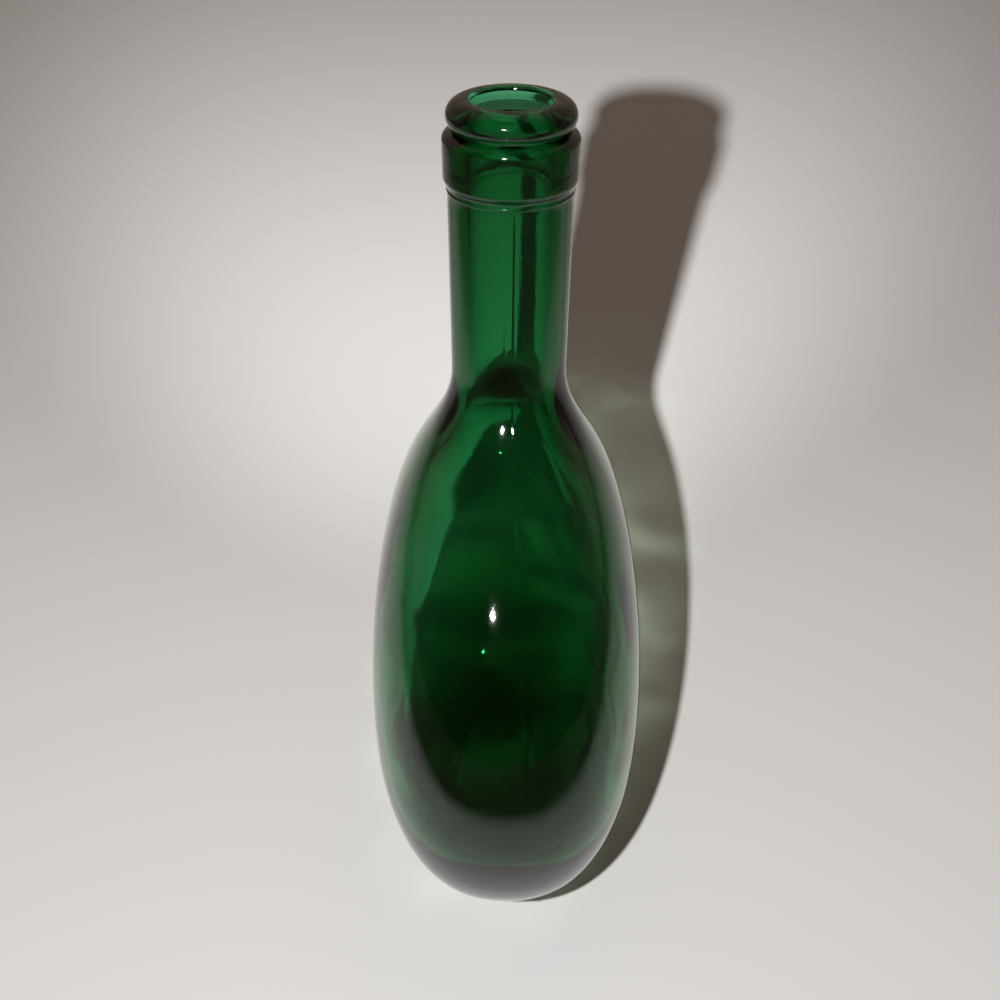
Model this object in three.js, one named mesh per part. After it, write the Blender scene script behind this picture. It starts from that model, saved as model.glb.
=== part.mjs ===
// Flat-sided wine flask in green glass, with a cork mouth. Millimetres, +Z up, origin under the
// middle of the foot. X runs across the wide face, Y runs through the flat faces, the front is -Y.
// The glass is parted where its moulds part: the lip, the collar, the neck, two halves each of
// the shoulder, the body and the heel, and the base.

import * as THREE from "three";
import { mergeVertices } from "three/addons/utils/BufferGeometryUtils.js";

// Overall size
const TOTAL_HEIGHT = 222;
const BODY_WIDTH = 148;
const BODY_DEPTH = 76.8;

// Body outline, seen from the front and from the side
const WIDEST_HEIGHT_FRONT = 66;
const WIDEST_HEIGHT_SIDE = 60;
const HEEL_POWER_FRONT = 2;
const HEEL_POWER_SIDE = 1.9;

// Shoulder curve: how long it keeps to the body's side and to the neck's, as shares of its height
const SHOULDER_FULLNESS_FRONT = 0.53;
const SHOULDER_SWEEP_FRONT = 0.21;
const SHOULDER_FULLNESS_SIDE = 0.71;
const SHOULDER_SWEEP_SIDE = 0.2;

// Level section of the body and of its hollow: an ellipse whose four quarters bulge by this share.
// The bulge fades out over the stretch below the neck.
const BODY_BULGE = 0.06;
const HOLLOW_BULGE = 0.09;
const BULGE_FADE_HEIGHT = 40;

// Foot, with a push-up inside its flat land
const FOOT_WIDTH = 54;
const FOOT_DEPTH = 31.6;
const FOOT_LAND_WIDTH = 4.5;
const PUSH_UP_RISE = 5;

// Glass thickness at the two narrow sides, the flat faces and the floor, and how far the base's
// rim stands above its floor
const NARROW_SIDE_WALL = 5;
const FLAT_FACE_WALL = 4.2;
const FLOOR_THICKNESS = 10;
const BASE_RIM_RISE = 8;
const HOLLOW_HEEL_POWER = 2.1;

// Heights of the planes where the body meets the heel under it and the shoulder over it
const BODY_FOOT_HEIGHT = 46;
const SHOULDER_FOOT_HEIGHT = 86;

// Neck and bore
const NECK_DIAMETER = 27.8;
const NECK_FOOT_HEIGHT = 160;
const BORE_DIAMETER_TOP = 17.2;
const BORE_DIAMETER_BOTTOM = 18.8;

// Lip bead and the groove under it
const LIP_DIAMETER = 27.8;
const LIP_HEIGHT = 6.1;
const LIP_CROWN_DROP = 3.2;
const MOUTH_EDGE_RADIUS = 0.8;
const MOUTH_LAND_WIDTH = 0.8;
const GROOVE_DIAMETER = 23.2;

// Collar
const COLLAR_DIAMETER = 29.6;
const COLLAR_HEIGHT = 11;
const COLLAR_SHOULDER_HEIGHT = 2;
const COLLAR_CHAMFER_HEIGHT = 1.6;

// Fineness of the surface
const SIDES_ROUND = 48;
const BASE_STEPS = 6;
const HEEL_STEPS = 5;
const BODY_STEPS = [2, 1, 3];
const SHOULDER_STEPS = 12;
const NECK_STEPS = 3;
const ARC_STEPS = 4;
const FLOOR_STEPS = 7;
const PUSH_UP_STEPS = 5;
const CURVE_TOLERANCE = 1e-7;
const ANGLE_TOLERANCE = 1e-9;

// The glass
const GLASS_COLOUR = 0x06421f;
const GLASS_ROUGHNESS = 0.05;
const GLASS_METALNESS = 0;

const QUARTER_TURN = Math.PI / 2;
const HALF_TURN = Math.PI;
const FULL_TURN = 2 * Math.PI;

// The level planes where the pieces meet
const FOOT_PLANE = 0;
const BASE_PLANE = FLOOR_THICKNESS + BASE_RIM_RISE;
const BODY_PLANE = BODY_FOOT_HEIGHT;
const SHOULDER_PLANE = SHOULDER_FOOT_HEIGHT;
const NECK_PLANE = NECK_FOOT_HEIGHT;
const GROOVE_PLANE = TOTAL_HEIGHT - LIP_HEIGHT;
const COLLAR_PLANE = GROOVE_PLANE - COLLAR_HEIGHT;

const neckRadius = NECK_DIAMETER / 2;
const grooveRadius = GROOVE_DIAMETER / 2;
const footLandInside = {
  halfWidth: FOOT_WIDTH / 2 - FOOT_LAND_WIDTH,
  halfDepth: FOOT_DEPTH / 2 - FOOT_LAND_WIDTH,
};
const frontOutline = {
  side: BODY_WIDTH / 2,
  wall: NARROW_SIDE_WALL,
  foot: FOOT_WIDTH / 2,
  widestHeight: WIDEST_HEIGHT_FRONT,
  heelPower: HEEL_POWER_FRONT,
  fullness: SHOULDER_FULLNESS_FRONT,
  sweep: SHOULDER_SWEEP_FRONT,
};
const sideOutline = {
  side: BODY_DEPTH / 2,
  wall: FLAT_FACE_WALL,
  foot: FOOT_DEPTH / 2,
  widestHeight: WIDEST_HEIGHT_SIDE,
  heelPower: HEEL_POWER_SIDE,
  fullness: SHOULDER_FULLNESS_SIDE,
  sweep: SHOULDER_SWEEP_SIDE,
};

// Values from one to another, evenly apart
function spread(from, to, steps) {
  return Array.from({ length: steps + 1 }, (_, step) => from + ((to - from) * step) / steps);
}

// Radius of a shoulder at one height: a curve that leaves the body upright and meets the neck so
function shoulderRadius(outline, side, narrow, height) {
  const rise = NECK_PLANE - outline.widestHeight;
  const curve = new THREE.CubicBezierCurve(
    new THREE.Vector2(side, outline.widestHeight),
    new THREE.Vector2(side, outline.widestHeight + outline.fullness * rise),
    new THREE.Vector2(narrow, NECK_PLANE - outline.sweep * rise),
    new THREE.Vector2(narrow, NECK_PLANE),
  );
  let low = 0;
  let high = 1;
  while (high - low > CURVE_TOLERANCE) {
    const middle = (low + high) / 2;
    if (curve.getPoint(middle).y < height) low = middle;
    else high = middle;
  }
  return curve.getPoint(high).x;
}

// Radius of a heel at one height: upright at the widest height, and level at its lowest point
function heelRadius(side, widestHeight, lowest, power, height) {
  const fall = (widestHeight - height) / (widestHeight - lowest);
  return side * Math.max(0, 1 - fall ** power) ** (1 / power);
}

// Half the body's size at one height, on the outside of the glass
function outsideRadius(outline, height) {
  if (height > outline.widestHeight) return shoulderRadius(outline, outline.side, neckRadius, height);
  const { side, foot, widestHeight, heelPower } = outline;
  const heelHeight = widestHeight / (1 - (foot / side) ** heelPower) ** (1 / heelPower);
  return heelRadius(side, widestHeight, widestHeight - heelHeight, heelPower, height);
}

// Half the hollow's size at one height
function insideRadius(outline, height) {
  const side = outline.side - outline.wall;
  if (height > outline.widestHeight) return shoulderRadius(outline, side, boreRadius(NECK_PLANE), height);
  return heelRadius(side, outline.widestHeight, FLOOR_THICKNESS, HOLLOW_HEEL_POWER, height);
}

// Radius of the bore at one height: it opens a little downwards
function boreRadius(height) {
  const share = (TOTAL_HEIGHT - height) / (TOTAL_HEIGHT - NECK_PLANE);
  return THREE.MathUtils.lerp(BORE_DIAMETER_TOP, BORE_DIAMETER_BOTTOM, share) / 2;
}

// Rise of the push-up at a share of the way out from the axis to the foot's land
function pushUpRise(share) {
  return (PUSH_UP_RISE * (1 + Math.cos(Math.PI * Math.min(1, share)))) / 2;
}

// A level ring through the body, whose bulge fades out below the neck
function bodyRing(radiusAt, fullBulge, height) {
  const halfWidth = radiusAt(frontOutline, height);
  const halfDepth = radiusAt(sideOutline, height);
  const bulge = fullBulge * THREE.MathUtils.smoothstep(NECK_PLANE - height, 0, BULGE_FADE_HEIGHT);
  return { halfWidth, halfDepth, bulge, height };
}

// A level ring on the outside of the body
function outsideRing(height) {
  return bodyRing(outsideRadius, BODY_BULGE, height);
}

// A level ring on the inside of the body
function insideRing(height) {
  return bodyRing(insideRadius, HOLLOW_BULGE, height);
}

// A level round ring
function roundRing(radius, height) {
  return { halfWidth: radius, halfDepth: radius, bulge: 0, height };
}

// Round rings along part of an ellipse that stands upright about a centre
function arcRings(centreRadius, centreHeight, reach, rise, fromAngle, toAngle) {
  return spread(fromAngle, toAngle, ARC_STEPS).map((angle) =>
    roundRing(centreRadius + reach * Math.cos(angle), centreHeight + rise * Math.sin(angle)),
  );
}

// The point of a ring at one angle about +Z, counted from +X
function ringPoint(ring, angle) {
  const [along, across] = [Math.cos(angle), Math.sin(angle)].map((value) =>
    Math.abs(value) < ANGLE_TOLERANCE ? 0 : value,
  );
  const swell = 1 + ring.bulge * (2 * along * across) ** 2;
  return new THREE.Vector3(ring.halfWidth * along * swell, ring.halfDepth * across * swell, ring.height);
}

// Triangles of the flat caps at the two ends of a part turn
function capTriangles(rings, sides, fromAngle) {
  const outline = rings.slice(0, -1).map((ring) => {
    const point = ringPoint(ring, fromAngle);
    return new THREE.Vector2(Math.hypot(point.x, point.y), point.z);
  });
  const lastRow = sides * rings.length;
  return THREE.ShapeUtils.triangulateShape(outline, []).flatMap(([a, b, c]) => [
    a, b, c, lastRow + a, lastRow + c, lastRow + b,
  ]);
}

// Glass swept through rings that go up on its outside and come down on its inside. The list of
// rings starts and ends on the axis, or its last ring is its first again.
function glassGeometry(rings, fromAngle, turn) {
  const sides = Math.round((SIDES_ROUND * turn) / FULL_TURN);
  const grid = new THREE.LatheGeometry(rings.map((_, row) => new THREE.Vector2(1, row)), sides, 0, turn);
  const position = grid.getAttribute("position");
  for (let index = 0; index < position.count; index += 1) {
    const side = Math.floor(index / rings.length);
    const point = ringPoint(rings[index % rings.length], fromAngle + (turn * side) / sides);
    position.setXYZ(index, point.x, point.y, point.z);
  }
  const caps = turn < FULL_TURN ? capTriangles(rings, sides, fromAngle) : [];
  grid.setIndex([...grid.index.array, ...caps]);
  grid.deleteAttribute("normal");
  grid.deleteAttribute("uv");
  return withoutEmptyTriangles(mergeVertices(grid));
}

// Drops the triangles that shrink to an edge where rings meet on the axis
function withoutEmptyTriangles(geometry) {
  const kept = [];
  for (let first = 0; first < geometry.index.count; first += 3) {
    const corners = [0, 1, 2].map((corner) => geometry.index.getX(first + corner));
    if (new Set(corners).size === corners.length) kept.push(...corners);
  }
  geometry.setIndex(kept);
  geometry.computeVertexNormals();
  return geometry;
}

const glass = new THREE.MeshStandardMaterial({
  color: GLASS_COLOUR,
  roughness: GLASS_ROUGHNESS,
  metalness: GLASS_METALNESS,
});

// A named piece of glass from its rings
function glassPiece(name, rings, fromAngle = 0, turn = FULL_TURN) {
  const piece = new THREE.Mesh(glassGeometry(rings, fromAngle, turn), glass.clone());
  piece.name = name;
  return piece;
}

// Closes a list of rings on itself
function closed(rings) {
  return [...rings, rings[0]];
}

// The bead round the mouth, with a flat land on top and a softened edge into the bore
function lipRings() {
  const crownPlane = TOTAL_HEIGHT - LIP_CROWN_DROP;
  const lipRadius = LIP_DIAMETER / 2;
  const landInside = boreRadius(TOTAL_HEIGHT) + MOUTH_EDGE_RADIUS;
  const landOutside = landInside + MOUTH_LAND_WIDTH;
  const edgePlane = TOTAL_HEIGHT - MOUTH_EDGE_RADIUS;
  const below = arcRings(
    grooveRadius, crownPlane, lipRadius - grooveRadius, crownPlane - GROOVE_PLANE, -QUARTER_TURN, 0,
  );
  const above = arcRings(
    landOutside, crownPlane, lipRadius - landOutside, LIP_CROWN_DROP, 0, QUARTER_TURN,
  );
  const edge = arcRings(landInside, edgePlane, -MOUTH_EDGE_RADIUS, MOUTH_EDGE_RADIUS, QUARTER_TURN, 0);
  const bore = roundRing(boreRadius(GROOVE_PLANE), GROOVE_PLANE);
  return closed([...below, ...above.slice(1), ...edge, bore]);
}

// The band under the groove, rounded at its top and chamfered into the neck at its bottom
function collarRings() {
  const collarRadius = COLLAR_DIAMETER / 2;
  const shoulderPlane = GROOVE_PLANE - COLLAR_SHOULDER_HEIGHT;
  const shoulder = arcRings(
    grooveRadius, shoulderPlane, collarRadius - grooveRadius, COLLAR_SHOULDER_HEIGHT, 0, QUARTER_TURN,
  );
  return closed([
    roundRing(neckRadius, COLLAR_PLANE),
    roundRing(collarRadius, COLLAR_PLANE + COLLAR_CHAMFER_HEIGHT),
    ...shoulder,
    roundRing(boreRadius(GROOVE_PLANE), GROOVE_PLANE),
    roundRing(boreRadius(COLLAR_PLANE), COLLAR_PLANE),
  ]);
}

// The straight tube between the shoulder and the collar
function neckRings() {
  const heights = spread(NECK_PLANE, COLLAR_PLANE, NECK_STEPS);
  const outside = heights.map((height) => roundRing(neckRadius, height));
  const inside = heights.map((height) => roundRing(boreRadius(height), height)).reverse();
  return closed([...outside, ...inside]);
}

// A hollow stretch of the flattened flask, through level rings at the given heights
function flaskRings(heights) {
  return closed([...heights.map(outsideRing), ...heights.map(insideRing).reverse()]);
}

// The shoulder, which narrows from the body to the neck
function shoulderRings() {
  return flaskRings(spread(SHOULDER_PLANE, NECK_PLANE, SHOULDER_STEPS));
}

// The body, past the two heights where it is widest
function bodyRings() {
  const stops = [BODY_PLANE, WIDEST_HEIGHT_FRONT, WIDEST_HEIGHT_SIDE, SHOULDER_PLANE].sort((a, b) => a - b);
  const heights = BODY_STEPS.map((steps, index) => spread(stops[index], stops[index + 1], steps).slice(1));
  return flaskRings([BODY_PLANE, ...heights.flat()]);
}

// The heel, which widens from the base's rim to the body
function heelRings() {
  return flaskRings(spread(BASE_PLANE, BODY_PLANE, HEEL_STEPS));
}

// The thick base: push-up and flat land below, foot of the heel outside, domed floor inside
function baseRings() {
  const pushUp = spread(0, 1, PUSH_UP_STEPS).map((share) => ({
    halfWidth: share * footLandInside.halfWidth,
    halfDepth: share * footLandInside.halfDepth,
    bulge: BODY_BULGE,
    height: pushUpRise(share),
  }));
  const heights = spread(FOOT_PLANE, BASE_PLANE, BASE_STEPS);
  const floor = spread(0, QUARTER_TURN, FLOOR_STEPS).map((angle) => {
    const ring = insideRing(BASE_PLANE - BASE_RIM_RISE * Math.sin(angle));
    return { ...ring, height: ring.height + pushUpRise(ring.halfDepth / footLandInside.halfDepth) };
  });
  return [...pushUp, ...heights.map(outsideRing), ...floor];
}

const bottle = new THREE.Group();
bottle.add(
  glassPiece("lip_ring", lipRings()),
  glassPiece("collar", collarRings()),
  glassPiece("neck", neckRings()),
  glassPiece("shoulder_front", shoulderRings(), HALF_TURN, HALF_TURN),
  glassPiece("shoulder_back", shoulderRings(), 0, HALF_TURN),
  glassPiece("body_front", bodyRings(), HALF_TURN, HALF_TURN),
  glassPiece("body_back", bodyRings(), 0, HALF_TURN),
  glassPiece("heel_front", heelRings(), HALF_TURN, HALF_TURN),
  glassPiece("heel_back", heelRings(), 0, HALF_TURN),
  glassPiece("base", baseRings()),
);

export default bottle;
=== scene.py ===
"""Empty flat-sided wine flask in green glass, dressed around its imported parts.

Metres, +Z up. The flask stands on the origin with its flat faces to -Y and +Y.
"""

import logging
import math
from collections.abc import Iterator
from dataclasses import dataclass, field, replace
from enum import Enum

import bmesh
import bpy
from mathutils import Euler, Matrix, Vector, noise


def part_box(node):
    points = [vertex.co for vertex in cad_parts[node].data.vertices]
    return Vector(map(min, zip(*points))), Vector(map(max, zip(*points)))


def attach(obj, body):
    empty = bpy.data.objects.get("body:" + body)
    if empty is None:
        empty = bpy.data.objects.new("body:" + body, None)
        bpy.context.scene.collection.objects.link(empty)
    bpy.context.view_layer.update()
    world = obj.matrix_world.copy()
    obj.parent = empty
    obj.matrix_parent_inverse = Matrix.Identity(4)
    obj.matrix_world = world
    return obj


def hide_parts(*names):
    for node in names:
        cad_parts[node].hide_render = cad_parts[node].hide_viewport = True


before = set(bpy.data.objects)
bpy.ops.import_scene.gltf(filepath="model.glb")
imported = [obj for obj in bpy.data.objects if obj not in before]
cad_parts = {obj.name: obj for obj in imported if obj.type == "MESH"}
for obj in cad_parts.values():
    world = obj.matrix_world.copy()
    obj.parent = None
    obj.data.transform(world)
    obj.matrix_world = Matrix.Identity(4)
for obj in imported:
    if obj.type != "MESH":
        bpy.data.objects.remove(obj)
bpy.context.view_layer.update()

MM = 0.001
QUARTER_TURN = math.pi / 2
MERGE = 1e-7
CURVE_PRECISION = 1e-7
WALL_LAYER = "wall"

log = logging.getLogger("flask")


class Wall(Enum):
    """Which skin of the glass a ring lies on."""

    OUTSIDE = 0.0
    INSIDE = 1.0


@dataclass(frozen=True)
class Ring:
    """A level ring of the glass.

    Args:
        half_width: Half its size along X.
        half_depth: Half its size along Y.
        height: Its height over the floor.
        bulge: Share by which its four quarters stand out past an ellipse.
        wall: The skin that it lies on.
    """

    half_width: float
    half_depth: float
    height: float
    bulge: float = 0.0
    wall: Wall = Wall.OUTSIDE


def spread(start: float, end: float, steps: int) -> list[float]:
    """Gives evenly spaced values from one to another.

    Args:
        start: The first value.
        end: The last value.
        steps: How many steps lie between them.

    Returns:
        The values, both ends among them.
    """
    return [start + (end - start) * step / steps for step in range(steps + 1)]


def smooth_share(value: float, start: float, end: float) -> float:
    """Gives an eased share of the way from one value to another.

    Args:
        value: The value to place.
        start: Where the share is 0.
        end: Where the share is 1.

    Returns:
        The share, from 0 to 1.
    """
    share = min(1.0, max(0.0, (value - start) / (end - start)))
    return share * share * (3 - 2 * share)


def round_ring(radius: float, height: float, wall: Wall = Wall.OUTSIDE) -> Ring:
    """Gives a round ring of one radius.

    Args:
        radius: The ring's radius.
        height: Its height over the floor.
        wall: The skin that it lies on.

    Returns:
        The ring.
    """
    return Ring(radius, radius, height, wall=wall)


def arc_rings(centre: tuple[float, float], reach: float, rise: float, turn: tuple[float, float],
              steps: int) -> list[Ring]:
    """Gives round rings along part of an upright ellipse.

    Args:
        centre: Radius and height of the ellipse's middle.
        reach: How far it reaches outwards.
        rise: How far it reaches up.
        turn: The angles at its two ends.
        steps: How many steps lie between them.

    Returns:
        The rings in order.
    """
    radius, height = centre
    return [
        round_ring(radius + reach * math.cos(angle), height + rise * math.sin(angle))
        for angle in spread(*turn, steps)
    ]


@dataclass(frozen=True)
class Outline:
    """One outline of the flask, from its foot up to the neck.

    Args:
        side: Half its greatest size.
        widest: The height where it is widest.
        lowest: The height where its heel runs out level.
        heel_power: How square the heel is: 2 is round.
        fullness: Share of the shoulder's height that keeps to the side.
        sweep: Share of the shoulder's height that keeps to the neck.
        narrow: The neck's radius.
        neck_foot: The height where the neck starts.
    """

    side: float
    widest: float
    lowest: float
    heel_power: float
    fullness: float
    sweep: float
    narrow: float
    neck_foot: float

    def radius(self, height: float) -> float:
        """Gives half the outline's size at one height."""
        return self.shoulder(height) if height > self.widest else self.heel(height)

    def heel(self, height: float) -> float:
        """Gives half the heel's size at a height between the foot and the widest place."""
        fall = (self.widest - height) / (self.widest - self.lowest)
        return self.side * max(0.0, 1 - fall**self.heel_power) ** (1 / self.heel_power)

    def shoulder(self, height: float) -> float:
        """Follows the shoulder's curve, which is upright at both ends, to one height.

        Args:
            height: A height between the widest place and the neck.

        Returns:
            Half the shoulder's size there.
        """
        rise = self.neck_foot - self.widest
        heights = (0.0, self.fullness * rise, (1 - self.sweep) * rise, rise)
        radii = (self.side, self.side, self.narrow, self.narrow)
        low, high = 0.0, 1.0
        while high - low > CURVE_PRECISION:
            middle = (low + high) / 2
            if bezier(heights, middle) < height - self.widest:
                low = middle
            else:
                high = middle
        return bezier(radii, high)


def bezier(points: tuple[float, float, float, float], share: float) -> float:
    """Gives one coordinate of a cubic curve.

    Args:
        points: That coordinate of its four points.
        share: How far along the curve it is, from 0 to 1.

    Returns:
        The coordinate there.
    """
    rest = 1 - share
    first, second, third, fourth = points
    return (
        first * rest**3
        + 3 * second * rest**2 * share
        + 3 * third * rest * share**2
        + fourth * share**3
    )


@dataclass
class Flask:
    """The flattened body and its shoulder, as far up as the neck.

    Args:
        widest_front: Height where it is widest, seen from the front.
        widest_side: Height where it is widest, seen from the side.
        heel_power_front: How square the heel is, seen from the front: 2 is round.
        heel_power_side: How square the heel is, seen from the side.
        fullness_front: Share of the shoulder's height that keeps to the side, seen from the front.
        sweep_front: Share of the shoulder's height that keeps to the neck, seen from the front.
        fullness_side: The first of those shares, seen from the side.
        sweep_side: The second of them, seen from the side.
        foot_half_width: Half the foot's size along X.
        foot_half_depth: Half the foot's size along Y.
        bulge: Share by which the outer skin's four quarters stand out past an ellipse.
        hollow_bulge: That share for the hollow.
        bulge_fade: Height under the neck over which the bulge fades out.
        narrow_side_wall: Thickness of the wall at the narrow sides.
        flat_face_wall: Thickness of the wall at the flat faces.
        floor: Thickness of the glass under the hollow.
        hollow_power: How square the hollow's heel is.
        hollow_sweep: What the hollow adds to the share that keeps to the neck.
        heel_steps: Steps from the foot up to the widest place.
        shoulder_steps: Steps from the widest place up to the neck.
    """

    widest_front: float = 66 * MM
    widest_side: float = 60 * MM
    heel_power_front: float = 2.0
    heel_power_side: float = 1.9
    fullness_front: float = 0.53
    sweep_front: float = 0.21
    fullness_side: float = 0.71
    sweep_side: float = 0.2
    foot_half_width: float = 27 * MM
    foot_half_depth: float = 15.8 * MM
    bulge: float = 0.06
    hollow_bulge: float = 0.09
    bulge_fade: float = 40 * MM
    narrow_side_wall: float = 5 * MM
    flat_face_wall: float = 4.2 * MM
    floor: float = 10 * MM
    hollow_power: float = 2.0
    hollow_sweep: float = 0.08
    heel_steps: int = 44
    shoulder_steps: int = 64

    def __post_init__(self) -> None:
        """Reads the body's size and the neck's place from the frame."""
        low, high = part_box("body_front")
        self.half_width = high.x
        self.half_depth = -low.y
        neck_low, neck_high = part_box("neck")
        self.neck_foot = neck_low.z
        self.neck_radius = neck_high.x

    def outline(self, side: float, widest: float, lowest: float, front: bool, power: float,
                narrow: float) -> Outline:
        """Fills in an outline with the shoulder's shape.

        Args:
            side: Half its greatest size.
            widest: The height where it is widest.
            lowest: The height where its heel runs out level.
            front: Whether it is the outline seen from the front.
            power: How square the heel is.
            narrow: The radius that it narrows to.

        Returns:
            The outline.
        """
        fullness = self.fullness_front if front else self.fullness_side
        sweep = self.sweep_front if front else self.sweep_side
        return Outline(side, widest, lowest, power, fullness, sweep, narrow, self.neck_foot)

    def outside_outlines(self) -> tuple[Outline, Outline]:
        """Works out the outlines of the outer skin, whose heels end at the foot.

        Returns:
            The outlines seen from the front and from the side.
        """
        pairs = []
        for front, side, foot, widest, power in (
            (True, self.half_width, self.foot_half_width, self.widest_front, self.heel_power_front),
            (False, self.half_depth, self.foot_half_depth, self.widest_side, self.heel_power_side),
        ):
            lowest = widest - widest / (1 - (foot / side) ** power) ** (1 / power)
            pairs.append(self.outline(side, widest, lowest, front, power, self.neck_radius))
        return pairs[0], pairs[1]

    def inside_outlines(self, bore: float) -> tuple[Outline, Outline]:
        """Works out the outlines of the hollow, which narrows to the bore.

        Args:
            bore: The bore's radius at the neck's foot.

        Returns:
            The outlines seen from the front and from the side.
        """
        power = self.hollow_power
        half_width = self.half_width - self.narrow_side_wall
        half_depth = self.half_depth - self.flat_face_wall
        front = self.outline(half_width, self.widest_front, self.floor, True, power, bore)
        side = self.outline(half_depth, self.widest_side, self.floor, False, power, bore)
        return tuple(replace(outline, sweep=outline.sweep + self.hollow_sweep) for outline in (front, side))

    def ring(self, outlines: tuple[Outline, Outline], height: float, wall: Wall) -> Ring:
        """Gives the ring of two outlines at one height.

        Args:
            outlines: The outlines from the front and from the side.
            height: The ring's height.
            wall: The skin that it lies on.

        Returns:
            The ring.
        """
        full_bulge = self.hollow_bulge if wall is Wall.INSIDE else self.bulge
        bulge = full_bulge * smooth_share(self.neck_foot - height, 0, self.bulge_fade)
        front, side = outlines
        return Ring(front.radius(height), side.radius(height), height, bulge, wall)

    def shoulder_heights(self) -> list[float]:
        """Gives the heights of the rings from the widest place up to the neck."""
        return spread(self.widest_side, self.neck_foot, self.shoulder_steps)

    def outside(self) -> list[Ring]:
        """Gives the outer skin's rings from the foot up.

        Returns:
            The rings, the last one where the neck starts.
        """
        outlines = self.outside_outlines()
        turns = spread(0, QUARTER_TURN, self.heel_steps)
        heights = [self.widest_side * (1 - math.cos(turn)) for turn in turns]
        heights += self.shoulder_heights()[1:]
        return [self.ring(outlines, height, Wall.OUTSIDE) for height in heights]

    def inside(self, bore: float) -> list[Ring]:
        """Gives the hollow's rings from the neck down to the middle of its floor.

        Args:
            bore: The bore's radius at the neck's foot.

        Returns:
            The rings, the last one on the axis.
        """
        outlines = self.inside_outlines(bore)
        heights = list(reversed(self.shoulder_heights()))
        turns = spread(0, QUARTER_TURN, self.heel_steps)
        depth = self.widest_side - self.floor
        heights += [self.widest_side - depth * math.sin(turn) for turn in turns[1:]]
        return [self.ring(outlines, height, Wall.INSIDE) for height in heights]


@dataclass
class Foot:
    """The push-up and the flat land that the flask stands on.

    Args:
        flask: The body over the foot.
        land_width: Width of the land.
        push_up_rise: Height of the push-up at its middle.
        steps: Steps from the middle out to the land.
    """

    flask: Flask
    land_width: float = 4.5 * MM
    push_up_rise: float = 5 * MM
    steps: int = 24

    def rise(self, share: float) -> float:
        """Gives the push-up's height at a share of the way out to the land."""
        return self.push_up_rise * (1 + math.cos(math.pi * min(1.0, share))) / 2

    def half_sizes(self) -> tuple[float, float]:
        """Gives half the push-up's width and depth."""
        return self.flask.foot_half_width - self.land_width, self.flask.foot_half_depth - self.land_width

    def rings(self) -> list[Ring]:
        """Gives the push-up's rings.

        Returns:
            The rings from the axis out to the inner edge of the land.
        """
        half_width, half_depth = self.half_sizes()
        return [
            Ring(share * half_width, share * half_depth, self.rise(share), self.flask.bulge)
            for share in spread(0, 1, self.steps)
        ]

    def lift(self, ring: Ring) -> Ring:
        """Raises a ring of the hollow's floor over the push-up."""
        share = ring.half_depth / self.half_sizes()[1]
        return Ring(ring.half_width, ring.half_depth, ring.height + self.rise(share), ring.bulge, ring.wall)


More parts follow.
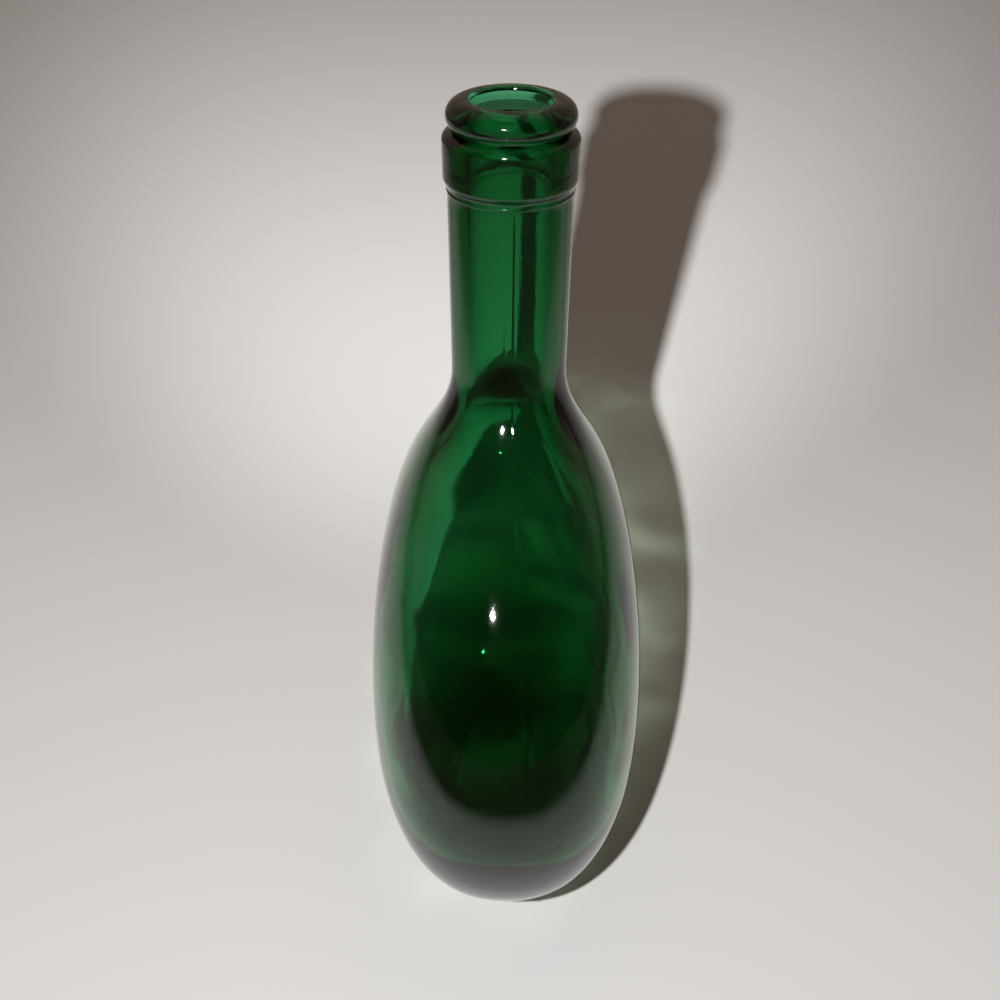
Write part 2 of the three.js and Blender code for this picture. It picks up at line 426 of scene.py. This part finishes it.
@dataclass
class Mouth:
    """The bead, the groove, the collar, the neck under them and the bore.

    Args:
        crown_drop: How far under the top the bead is widest.
        edge_radius: Radius of the bore's rounded upper edge.
        land_width: Width of the level land round that edge.
        groove_radius: Radius at the bottom of the groove.
        bore_top: Radius of the bore at the top.
        bore_foot: Radius of the bore at the neck's foot.
        shoulder_height: Height of the collar's rounded top.
        chamfer_height: Height over which the collar swells out from the neck.
        ridge_drop: How far under the collar the mould's ridge lies.
        ridge_half_height: Half the ridge's height.
        ridge_rise: How far the ridge stands out.
        ridge_steps: Steps over the ridge, and over the throat.
        throat_drop: How far under the top the throat is narrowest.
        throat_half_height: Half the throat's height.
        throat_rise: How far the throat stands into the bore.
        neck_steps: Steps up the neck, and down the bore.
        collar_steps: Steps up the collar's wall.
        arc_steps: Steps along each rounded stretch of the finish.
    """

    crown_drop: float = 3.2 * MM
    edge_radius: float = 0.8 * MM
    land_width: float = 0.8 * MM
    groove_radius: float = 11.6 * MM
    bore_top: float = 8.6 * MM
    bore_foot: float = 9.4 * MM
    shoulder_height: float = 2.0 * MM
    chamfer_height: float = 1.6 * MM
    ridge_drop: float = 1.55 * MM
    ridge_half_height: float = 0.35 * MM
    ridge_rise: float = 0.16 * MM
    ridge_steps: int = 8
    throat_drop: float = 2.6 * MM
    throat_half_height: float = 0.4 * MM
    throat_rise: float = 0.3 * MM
    neck_steps: int = 24
    collar_steps: int = 14
    arc_steps: int = 12

    def __post_init__(self) -> None:
        """Reads the radii and the level planes from the frame."""
        neck_low, neck_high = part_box("neck")
        self.neck_foot = neck_low.z
        self.neck_radius = neck_high.x
        self.collar_foot, self.groove = (corner.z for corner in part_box("collar"))
        self.collar_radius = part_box("collar")[1].x
        lip_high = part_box("lip_ring")[1]
        self.top = lip_high.z
        self.lip_radius = lip_high.x

    def bore(self, height: float) -> float:
        """Gives the bore's radius at one height: it opens a little downwards."""
        share = (self.top - height) / (self.top - self.neck_foot)
        return self.bore_top + (self.bore_foot - self.bore_top) * share

    def neck(self) -> list[Ring]:
        """Gives the neck's rings, with the fine ridge that the mould leaves under the collar.

        Returns:
            The rings from the neck's foot up to the collar.
        """
        ridge_height = self.collar_foot - self.ridge_drop
        heights = spread(self.neck_foot, ridge_height - self.ridge_half_height, self.neck_steps)
        below = [round_ring(self.neck_radius, height) for height in heights[:-1]]
        ridge = [
            round_ring(
                self.neck_radius + self.ridge_rise * (1 + math.cos(math.pi * share)) / 2,
                ridge_height + self.ridge_half_height * share,
            )
            for share in spread(-1, 1, self.ridge_steps)
        ]
        return [*below, *ridge, round_ring(self.neck_radius, self.collar_foot)]

    def collar(self) -> list[Ring]:
        """Gives the collar's rings.

        Returns:
            The rings from the collar's chamfer up to the groove.
        """
        wall_foot = self.collar_foot + self.chamfer_height
        wall_top = self.groove - self.shoulder_height
        chamfer = arc_rings(
            (self.neck_radius, wall_foot), self.collar_radius - self.neck_radius,
            self.chamfer_height, (-QUARTER_TURN, 0), self.arc_steps,
        )
        heights = spread(wall_foot, wall_top, self.collar_steps)
        wall = [round_ring(self.collar_radius, height) for height in heights[1:-1]]
        shoulder = arc_rings(
            (self.groove_radius, wall_top), self.collar_radius - self.groove_radius,
            self.shoulder_height, (0, QUARTER_TURN), self.arc_steps,
        )
        return chamfer + wall + shoulder

    def bead(self) -> list[Ring]:
        """Gives the bead's rings.

        Returns:
            The rings from the groove over the bead's crown to the edge of the bore.
        """
        crown = self.top - self.crown_drop
        land_inside = self.bore_top + self.edge_radius
        land_outside = land_inside + self.land_width
        below = arc_rings(
            (self.groove_radius, crown), self.lip_radius - self.groove_radius, crown - self.groove,
            (-QUARTER_TURN, 0), self.arc_steps,
        )
        above = arc_rings(
            (land_outside, crown), self.lip_radius - land_outside, self.crown_drop,
            (0, QUARTER_TURN), self.arc_steps,
        )
        edge = arc_rings(
            (land_inside, self.top - self.edge_radius), -self.edge_radius, self.edge_radius,
            (QUARTER_TURN, 0), self.arc_steps,
        )
        return below + above[1:] + edge

    def bore_rings(self) -> list[Ring]:
        """Gives the bore's rings, which start with the narrow throat under the mouth's edge.

        Returns:
            The rings from the throat down to the foot of the neck.
        """
        throat = self.top - self.throat_drop
        narrowing = [
            round_ring(
                self.bore(throat) - self.throat_rise * (1 + math.cos(math.pi * share)) / 2,
                throat + self.throat_half_height * share,
                Wall.INSIDE,
            )
            for share in spread(1, -1, self.ridge_steps)
        ]
        heights = spread(throat - self.throat_half_height, self.neck_foot, self.neck_steps)
        return narrowing + [round_ring(self.bore(height), height, Wall.INSIDE) for height in heights[1:]]


def speckle(tree: bpy.types.NodeTree, place: bpy.types.NodeSocket, size: float, detail: float,
            twist: float = 0.0) -> bpy.types.NodeSocket:
    """Adds soft, irregular patches.

    Args:
        tree: The nodes to add to.
        place: The place or direction that the patches depend on.
        size: Distance between the patches.
        detail: How finely they are broken up.
        twist: How much they are twisted into streaks.

    Returns:
        The patches' level, from 0 to 1.
    """
    node = tree.nodes.new("ShaderNodeTexNoise")
    node.inputs["Scale"].default_value = 1 / size
    node.inputs["Detail"].default_value = detail
    node.inputs["Distortion"].default_value = twist
    tree.links.new(place, node.inputs["Vector"])
    return node.outputs["Fac"]


def coordinate(tree: bpy.types.NodeTree, place: bpy.types.NodeSocket,
               axis: str) -> bpy.types.NodeSocket:
    """Adds one coordinate of a place.

    Args:
        tree: The nodes to add to.
        place: The place or direction.
        axis: The letter of the coordinate's axis.

    Returns:
        The coordinate.
    """
    node = tree.nodes.new("ShaderNodeSeparateXYZ")
    tree.links.new(place, node.inputs["Vector"])
    return node.outputs[axis]


def grade(tree: bpy.types.NodeTree, value: bpy.types.NodeSocket, span: tuple[float, float],
          levels: tuple[float, float], smooth: bool = False) -> bpy.types.NodeSocket:
    """Adds a change from one level to another over a span of some value.

    Args:
        tree: The nodes to add to.
        value: The value that the change follows.
        span: That value where the change starts and where it ends.
        levels: The levels there.
        smooth: Whether the change eases in and out.

    Returns:
        The level.
    """
    node = tree.nodes.new("ShaderNodeMapRange")
    if smooth:
        node.interpolation_type = "SMOOTHSTEP"
    for name, level in zip(("From Min", "From Max", "To Min", "To Max"), (*span, *levels)):
        node.inputs[name].default_value = level
    tree.links.new(value, node.inputs["Value"])
    return node.outputs["Result"]


def combine(tree: bpy.types.NodeTree, operation: str, first: bpy.types.NodeSocket,
            second: bpy.types.NodeSocket) -> bpy.types.NodeSocket:
    """Adds a calculation with two values.

    Args:
        tree: The nodes to add to.
        operation: Which calculation it is, such as MULTIPLY.
        first: The first value.
        second: The second value.

    Returns:
        The outcome.
    """
    node = tree.nodes.new("ShaderNodeMath")
    node.operation = operation
    tree.links.new(first, node.inputs[0])
    tree.links.new(second, node.inputs[1])
    return node.outputs["Value"]


@dataclass(frozen=True)
class GreenGlass:
    """Moulded green bottle glass, polished by the flame and a little uneven.

    Args:
        slot: The record's slot that it finishes.
        ior: Index of refraction.
        roughness: Haze of the skin.
        tint: Colour that the glass lets through.
        density: How strongly the glass takes light away, per metre.
        peel_size: Distance between the dimples of the skin.
        peel_detail: How finely the dimples are broken up.
        peel_depth: Greatest depth of the dimples.
        peel_shares: Share of that depth at some heights: the shoulder is dimpled most.
        smudge_size: Distance between the hazier patches of the skin.
        smudge_detail: How finely those patches are broken up.
        smudge_span: Levels of the noise between which a patch fades in.
        smudge_roughness: Haze of those patches.
        finish_foot: Height where the finish starts.
        finish_fade: Height over which its own haze fades in below that.
        finish_roughness: Haze of the finish, from fine ripples too small to model.
        scuff_height: Height up to which the land is worn dull.
        scuff_roughness: Haze of the worn land.
    """

    slot: str = "green_glass"
    ior: float = 1.52
    roughness: float = 0.025
    tint: tuple[float, float, float, float] = (0.035, 0.648, 0.3625, 1.0)
    density: float = 480.0
    peel_size: float = 0.8 * MM
    peel_detail: float = 2.0
    peel_depth: float = 0.02 * MM
    peel_shares: tuple[tuple[float, float], ...] = (
        (0.0, 0.1), (112 * MM, 0.1), (134 * MM, 1.0), (150 * MM, 1.0), (160 * MM, 0.1),
    )
    smudge_size: float = 24 * MM
    smudge_detail: float = 6.0
    smudge_span: tuple[float, float] = (0.45, 0.7)
    smudge_roughness: float = 0.08
    finish_foot: float = field(default_factory=lambda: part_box("collar")[0].z)
    finish_fade: float = 5 * MM
    finish_roughness: float = 0.06
    scuff_height: float = 0.15 * MM
    scuff_roughness: float = 0.4

    def material(self) -> bpy.types.Material:
        """Makes the glass, clear at its skin and green through its thickness.

        Returns:
            The material.
        """
        material = bpy.data.materials.new(self.slot)
        material.use_nodes = True
        nodes = material.node_tree.nodes
        links = material.node_tree.links
        shader = nodes["Principled BSDF"]
        shader.inputs["Base Color"].default_value = (1, 1, 1, 1)
        shader.inputs["IOR"].default_value = self.ior
        shader.inputs["Transmission Weight"].default_value = 1
        place = nodes.new("ShaderNodeTexCoord").outputs["Object"]
        links.new(self.haze(material.node_tree, place), shader.inputs["Roughness"])
        links.new(self.dimples(material.node_tree, place), shader.inputs["Normal"])
        absorption = nodes.new("ShaderNodeVolumeAbsorption")
        absorption.inputs["Color"].default_value = self.tint
        absorption.inputs["Density"].default_value = self.density
        links.new(absorption.outputs["Volume"], nodes["Material Output"].inputs["Volume"])
        return material

    def haze(self, tree: bpy.types.NodeTree, place: bpy.types.NodeSocket) -> bpy.types.NodeSocket:
        """Adds the patchy haze of a handled skin, the finish's own haze and the worn land's.

        Args:
            tree: The material's nodes.
            place: Where on the flask the skin is.

        Returns:
            The roughness.
        """
        patches = speckle(tree, place, self.smudge_size, self.smudge_detail)
        smudges = grade(tree, patches, self.smudge_span, (self.roughness, self.smudge_roughness))
        height = coordinate(tree, place, "Z")
        worn = grade(tree, height, (self.scuff_height, 0.0), (0.0, self.scuff_roughness))
        below_finish = self.finish_foot - self.finish_fade
        finish = grade(tree, height, (below_finish, self.finish_foot), (0.0, self.finish_roughness))
        ends = combine(tree, "MAXIMUM", worn, finish)
        return self.outside_only(tree, combine(tree, "MAXIMUM", smudges, ends))

    def outside_only(self, tree: bpy.types.NodeTree, value: bpy.types.NodeSocket) -> bpy.types.NodeSocket:
        """Keeps a value on the outer skin and takes it to 0 on the hollow's smooth skin.

        Args:
            tree: The material's nodes.
            value: The value to keep.

        Returns:
            The value on the outer skin only.
        """
        wall = tree.nodes.new("ShaderNodeAttribute")
        wall.attribute_name = WALL_LAYER
        outside = grade(tree, wall.outputs["Fac"], (Wall.OUTSIDE.value, Wall.INSIDE.value), (1.0, 0.0))
        return combine(tree, "MULTIPLY", value, outside)

    def dimples(self, tree: bpy.types.NodeTree, place: bpy.types.NodeSocket) -> bpy.types.NodeSocket:
        """Adds the fine orange peel that the mould leaves.

        Args:
            tree: The material's nodes.
            place: Where on the flask the skin is.

        Returns:
            The skin's normal.
        """
        peel = speckle(tree, place, self.peel_size, self.peel_detail)
        depth = combine(tree, "MULTIPLY", peel, self.peel_share(tree, place))
        bump = tree.nodes.new("ShaderNodeBump")
        bump.inputs["Distance"].default_value = self.peel_depth
        tree.links.new(self.outside_only(tree, depth), bump.inputs["Height"])
        return bump.outputs["Normal"]

    def peel_share(self, tree: bpy.types.NodeTree, place: bpy.types.NodeSocket) -> bpy.types.NodeSocket:
        """Adds how strong the orange peel is at each height.

        Args:
            tree: The material's nodes.
            place: Where on the flask the skin is.

        Returns:
            The share of the dimples' greatest depth.
        """
        foot, top = self.peel_shares[0][0], self.peel_shares[-1][0]
        shares = tree.nodes.new("ShaderNodeValToRGB")
        stops = shares.color_ramp.elements
        ends = [stops[0], stops[1]]
        between = [stops.new((level - foot) / (top - foot)) for level, _ in self.peel_shares[1:-1]]
        for stop, (_, share) in zip([ends[0], *between, ends[1]], self.peel_shares):
            stop.color = (share, share, share, 1)
        height = grade(tree, coordinate(tree, place, "Z"), (foot, top), (0.0, 1.0))
        tree.links.new(height, shares.inputs["Fac"])
        return shares.outputs["Color"]


@dataclass
class Bottle:
    """The whole flask, one closed skin of glass swept round its axis.

    The hollow leans a little, and both skins are slightly wavy, as blown glass is. The finish, from
    the collar up, is rippled more finely. The mould's seam runs up both narrow sides, turned a few
    degrees off the wide face.

    Args:
        name: The piece's name.
        quarter_steps: Steps round a quarter of the flask.
        flask: The body and its shoulder.
        mouth: The neck and its finish.
        glass: What it is made of.
        lean: How far the hollow of the body is moved along X and Y.
        lean_fade: Height above and below the neck's foot over which that move fades out.
        uneven_depth: How far the hollow's skin waves in and out.
        uneven_size: Size of those waves.
        wave_depth: Greatest depth of the waves in the outer skin.
        wave_size: Level and upright size of those waves.
        ripple_depth: Greatest depth of the finish's ripples.
        ripple_size: Level and upright size of the ripples.
        ripple_fade: Height under the collar over which the waves give way to the ripples.
        seam_turn: Angle by which the seam is turned.
        seam_rise: How far the seam stands out.
        wave_start: Height above which the outer skin is wavy, so that the land stays level.
    """

    name: str = "flask_glass"
    quarter_steps: int = 64
    flask: Flask = field(default_factory=Flask)
    mouth: Mouth = field(default_factory=Mouth)
    glass: GreenGlass = field(default_factory=GreenGlass)
    lean: tuple[float, float] = (-0.4 * MM, -0.6 * MM)
    lean_fade: float = 20 * MM
    uneven_depth: float = 0.5 * MM
    uneven_size: float = 17 * MM
    wave_depth: float = 0.05 * MM
    wave_size: tuple[float, float] = (9 * MM, 5 * MM)
    ripple_depth: float = 0.06 * MM
    ripple_size: tuple[float, float] = (3 * MM, 1.6 * MM)
    ripple_fade: float = 6 * MM
    seam_turn: float = math.radians(4.1)
    seam_rise: float = 0.12 * MM
    wave_start: float = 6 * MM

    def rings(self) -> list[Ring]:
        """Puts the rings of every part in one row.

        Returns:
            The rings from the middle of the foot, up outside and down inside, to the middle of the floor.
        """
        foot = Foot(self.flask)
        hollow = self.flask.inside(self.mouth.bore(self.mouth.neck_foot))
        return [
            *foot.rings(),
            *self.flask.outside(),
            *self.mouth.neck()[1:],
            *self.mouth.collar()[1:],
            *self.mouth.bead()[1:],
            *self.mouth.bore_rings(),
            *(foot.lift(ring) for ring in hollow[1:]),
        ]

    def mesh(self) -> bpy.types.Mesh:
        """Spins a quarter of the rings, shapes it and mirrors it, then settles the skin.

        Returns:
            The finished mesh.
        """
        skin = bmesh.new()
        names = ("half_width", "half_depth", "bulge", WALL_LAYER)
        layers = [skin.verts.layers.float.new(name) for name in names]
        profile = []
        for ring in self.rings():
            vert = skin.verts.new((ring.half_width, 0, ring.height))
            values = (ring.half_width, ring.half_depth, ring.bulge, ring.wall.value)
            for layer, value in zip(layers, values):
                vert[layer] = value
            profile.append(vert)
        edges = [skin.edges.new(pair) for pair in zip(profile, profile[1:])]
        bmesh.ops.spin(
            skin, geom=profile + edges, cent=(0, 0, 0), axis=(0, 0, 1), dvec=(0, 0, 0),
            angle=QUARTER_TURN, steps=self.quarter_steps, use_merge=False, use_duplicate=False,
        )
        for axis in ("X", "Y"):
            quarters = skin.verts[:] + skin.edges[:] + skin.faces[:]
            bmesh.ops.mirror(skin, geom=quarters, matrix=Matrix.Identity(4), merge_dist=MERGE, axis=axis)
        bmesh.ops.remove_doubles(skin, verts=skin.verts, dist=MERGE)
        on_seam = self.flatten(skin, layers)
        bmesh.ops.recalc_face_normals(skin, faces=skin.faces)
        self.settle(skin, layers[-1], on_seam)
        for face in skin.faces:
            face.smooth = True
        mesh = bpy.data.meshes.new(self.name)
        skin.to_mesh(mesh)
        skin.free()
        return mesh

    def flatten(self, skin: bmesh.types.BMesh,
                layers: list[bmesh.types.BMLayerItem]) -> set[bmesh.types.BMVert]:
        """Moves the vertices of the round rings out to each ring's own shape.

        Each ring is turned so that its first column lies on the mould's seam.

        Args:
            skin: The round skin.
            layers: Half width, half depth, bulge and wall of each vertex.

        Returns:
            The vertices on the seam's two columns.
        """
        on_seam = set()
        for vert in skin.verts:
            half_width, half_depth, bulge, _ = (vert[layer] for layer in layers)
            if half_depth < MERGE:
                continue
            angle = math.atan2(vert.co.y, vert.co.x)
            if abs(vert.co.y) < MERGE:
                on_seam.add(vert)
            angle += math.atan(math.tan(self.seam_turn) * half_width / half_depth)
            along, across = math.cos(angle), math.sin(angle)
            swell = 1 + bulge * (2 * along * across) ** 2
            vert.co.x = half_width * along * swell
            vert.co.y = half_depth * across * swell
        return on_seam

    def settle(self, skin: bmesh.types.BMesh, wall: bmesh.types.BMLayerItem,
               on_seam: set[bmesh.types.BMVert]) -> None:
        """Makes the skins slightly uneven and raises the seam.

        Args:
            skin: The finished shape.
            wall: Which skin each vertex lies on.
            on_seam: The vertices on the seam.
        """
        skin.normal_update()
        fade_foot = self.flask.neck_foot - self.lean_fade
        fade_top = self.flask.neck_foot + self.lean_fade
        collar_foot = self.mouth.collar_foot
        for vert in skin.verts:
            if vert[wall] == Wall.INSIDE.value:
                fade = smooth_share(vert.co.z, fade_top, fade_foot)
                depth = self.uneven_depth * fade * noise.noise(vert.co / self.uneven_size)
                vert.co += vert.normal * depth
                vert.co.x += self.lean[0] * fade
                vert.co.y += self.lean[1] * fade
            elif vert.co.z > self.wave_start:
                finish = smooth_share(vert.co.z, collar_foot - self.ripple_fade, collar_foot)
                depth = self.dent(vert.co, self.wave_size) * self.wave_depth * (1 - finish)
                depth += self.dent(vert.co, self.ripple_size) * self.ripple_depth * finish
                if vert in on_seam:
                    depth -= self.seam_rise * (1 - finish)
                vert.co -= vert.normal * depth

    def dent(self, place: Vector, size: tuple[float, float]) -> float:
        """Gives how far a place is dented, from 0 to 1, by waves of a level and an upright size."""
        level, upright = size
        return (1 - noise.noise(Vector((place.x / level, place.y / level, place.z / upright)))) / 2

    def build(self) -> Iterator[bpy.types.Object]:
        """Makes the flask's one piece of glass.

        Yields:
            The piece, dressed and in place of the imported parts.
        """
        piece = bpy.data.objects.new(self.name, self.mesh())
        bpy.context.scene.collection.objects.link(piece)
        piece.data.materials.append(self.glass.material())
        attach(piece, "root")
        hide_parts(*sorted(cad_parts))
        yield piece


@dataclass(frozen=True)
class Beam:
    """A beam of the small light beside the camera, as bright far away as near.

    Args:
        name: The beam's name.
        power: How strong it is.
        angle: The angle that it lights.
        blend: Share of the beam that fades out at its edge.
        aim: The place that it points at.
        colour: Its colour.
        width: Its width as a share of its height.
        patch_angle: Angle between the bright patches in it, or 0 for an even beam.
        patch_detail: How finely those patches are broken up.
        patch_twist: How much they are twisted into streaks.
        patch_span: Levels of the noise between which a patch brightens.
        patch_strengths: Strength between the patches and in them.
        through_glass: Whether it passes the flask and only the floor stops it.
    """

    name: str
    power: float
    angle: float
    blend: float
    aim: tuple[float, float, float]
    colour: tuple[float, float, float] = (1.0, 1.0, 1.0)
    width: float = 1.0
    patch_angle: float = 0.0
    patch_detail: float = 3.0
    patch_twist: float = 0.8
    patch_span: tuple[float, float] = (0.35, 0.75)
    patch_strengths: tuple[float, float] = (0.4, 2.2)
    through_glass: bool = False

    def build(self, place: tuple[float, float, float], radius: float, floor: bpy.types.Object) -> None:
        """Adds the beam.

        Args:
            place: Where the light is.
            radius: The light's radius.
            floor: The floor that the beam lights.
        """
        lamp = bpy.data.lights.new(self.name, "SPOT")
        lamp.shadow_soft_size = radius
        lamp.spot_size = self.angle
        lamp.spot_blend = self.blend
        lamp.energy = self.power
        lamp.color = self.colour
        lamp.use_nodes = True
        falloff = lamp.node_tree.nodes.new("ShaderNodeLightFalloff")
        falloff.inputs["Strength"].default_value = 1.0
        strength = lamp.node_tree.nodes["Emission"].inputs["Strength"]
        lamp.node_tree.links.new(falloff.outputs["Constant"], strength)
        if self.patch_angle:
            self.patches(lamp.node_tree, falloff.inputs["Strength"])
        light = bpy.data.objects.new(self.name, lamp)
        light.location = place
        light.rotation_euler = (Vector(self.aim) - light.location).to_track_quat("-Z", "Y").to_euler()
        light.scale.x = self.width
        light.visible_camera = False
        if self.through_glass:
            stoppers = bpy.data.collections.new(f"{self.name}_stoppers")
            stoppers.objects.link(floor)
            light.light_linking.blocker_collection = stoppers
        bpy.context.scene.collection.objects.link(light)

    def patches(self, tree: bpy.types.NodeTree, strength: bpy.types.NodeSocket) -> None:
        """Breaks the beam up into the patches and streaks that wavy glass throws.

        Args:
            tree: The lamp's nodes.
            strength: The strength that the patches vary.
        """
        direction = tree.nodes.new("ShaderNodeTexCoord").outputs["Normal"]
        patches = speckle(tree, direction, self.patch_angle, self.patch_detail, self.patch_twist)
        tree.links.new(grade(tree, patches, self.patch_span, self.patch_strengths, smooth=True), strength)


@dataclass
class Studio:
    """The pale floor, the lights and the camera.

    Args:
        floor_size: Length of the floor's sides.
        floor_colour: The floor's colour.
        floor_roughness: The floor's roughness.
        lens: The camera's focal length, in millimetres.
        sensor: The width of its sensor, in millimetres.
        camera_place: Where the camera is.
        camera_pitch: How far it looks down.
        camera_roll: How far it is rolled.
        nearest_seen: Distance at which its view starts.
        key_place: Where the small light beside the camera is.
        key_radius: The radius of that light.
        beams: The beams of that light.
        fill_colour: Colour of the room's light.
        fill_strength: Its strength from behind the flask.
        fill_least: Its strength from the camera's side.
        fill_dark_side: X of a direction from which it is least.
        fill_light_side: X of a direction from which it is strongest.
    """

    floor_size: float = 6.0
    floor_colour: tuple[float, float, float, float] = (0.8, 0.79, 0.78, 1.0)
    floor_roughness: float = 0.7
    lens: float = 36.04
    sensor: float = 36.0
    camera_place: tuple[float, float, float] = (0.2134, -0.0020, 0.2810)
    camera_pitch: float = math.radians(37.36)
    camera_roll: float = 0.005
    nearest_seen: float = 0.01
    key_place: tuple[float, float, float] = (0.212, -0.041, 0.281)
    key_radius: float = 0.003
    beams: tuple[Beam, ...] = (
        Beam("key_light", power=36.0, angle=math.radians(108), blend=0.45, aim=(-0.08, 0.0, 0.03)),
        Beam("reach_light", power=42.0, angle=math.radians(60), blend=1.0, aim=(-0.9, 0.0, 0.0)),
        Beam(
            "glass_glow", power=12.0, angle=math.radians(38), blend=1.0, aim=(-0.01, 0.0, 0.06),
            colour=(0.74, 1.0, 0.7), width=0.5, patch_angle=0.055, through_glass=True,
        ),
    )
    fill_colour: tuple[float, float, float, float] = (1.0, 0.79, 0.645, 1.0)
    fill_strength: float = 0.235
    fill_least: float = 0.025
    fill_dark_side: float = 0.3
    fill_light_side: float = -0.5

    def floor(self) -> bpy.types.Object:
        """Makes the pale floor that the flask stands on.

        Returns:
            The floor.
        """
        surface = bmesh.new()
        bmesh.ops.create_grid(surface, x_segments=1, y_segments=1, size=self.floor_size / 2)
        mesh = bpy.data.meshes.new("studio_floor")
        surface.to_mesh(mesh)
        surface.free()
        floor = bpy.data.objects.new("studio_floor", mesh)
        bpy.context.scene.collection.objects.link(floor)
        material = bpy.data.materials.new("pale_floor")
        material.use_nodes = True
        shader = material.node_tree.nodes["Principled BSDF"]
        shader.inputs["Base Color"].default_value = self.floor_colour
        shader.inputs["Roughness"].default_value = self.floor_roughness
        mesh.materials.append(material)
        return floor

    def lights(self, floor: bpy.types.Object) -> None:
        """Adds the beams of the key light, and the warm light of the room behind the flask.

        The last beam is the green light that the glass lets through to the floor in its shadow.

        Args:
            floor: The floor, which is all that stops that light.
        """
        for beam in self.beams:
            beam.build(self.key_place, self.key_radius, floor)
        world = bpy.data.worlds.new("pale_room")
        world.use_nodes = True
        tree = world.node_tree
        background = tree.nodes["Background"]
        background.inputs["Color"].default_value = self.fill_colour
        direction = tree.nodes.new("ShaderNodeTexCoord").outputs["Generated"]
        span = (self.fill_dark_side, self.fill_light_side)
        levels = (self.fill_least, self.fill_strength)
        brightness = grade(tree, coordinate(tree, direction, "X"), span, levels, smooth=True)
        tree.links.new(brightness, background.inputs["Strength"])
        bpy.context.scene.world = world
        bpy.context.scene.view_settings.view_transform = "Standard"

    def camera(self) -> None:
        """Places the camera over the narrow side, looking down along -X."""
        lens = bpy.data.cameras.new("camera")
        lens.lens = self.lens
        lens.sensor_width = self.sensor
        lens.clip_start = self.nearest_seen
        camera = bpy.data.objects.new("camera", lens)
        tilt = Euler((QUARTER_TURN - self.camera_pitch, 0, QUARTER_TURN)).to_matrix().to_4x4()
        roll = Matrix.Rotation(self.camera_roll, 4, "Z")
        camera.matrix_world = Matrix.Translation(self.camera_place) @ tilt @ roll
        bpy.context.scene.collection.objects.link(camera)
        bpy.context.scene.camera = camera

    def build(self) -> None:
        """Sets the whole stage."""
        self.camera()
        self.lights(self.floor())


def main() -> None:
    """Builds the stage and the flask, and reports each piece."""
    logging.basicConfig(level=logging.INFO, format="%(message)s")
    Studio().build()
    for piece in Bottle().build():
        log.info("%s: %d faces", piece.name, len(piece.data.polygons))


if __name__ == "__main__":
    main()
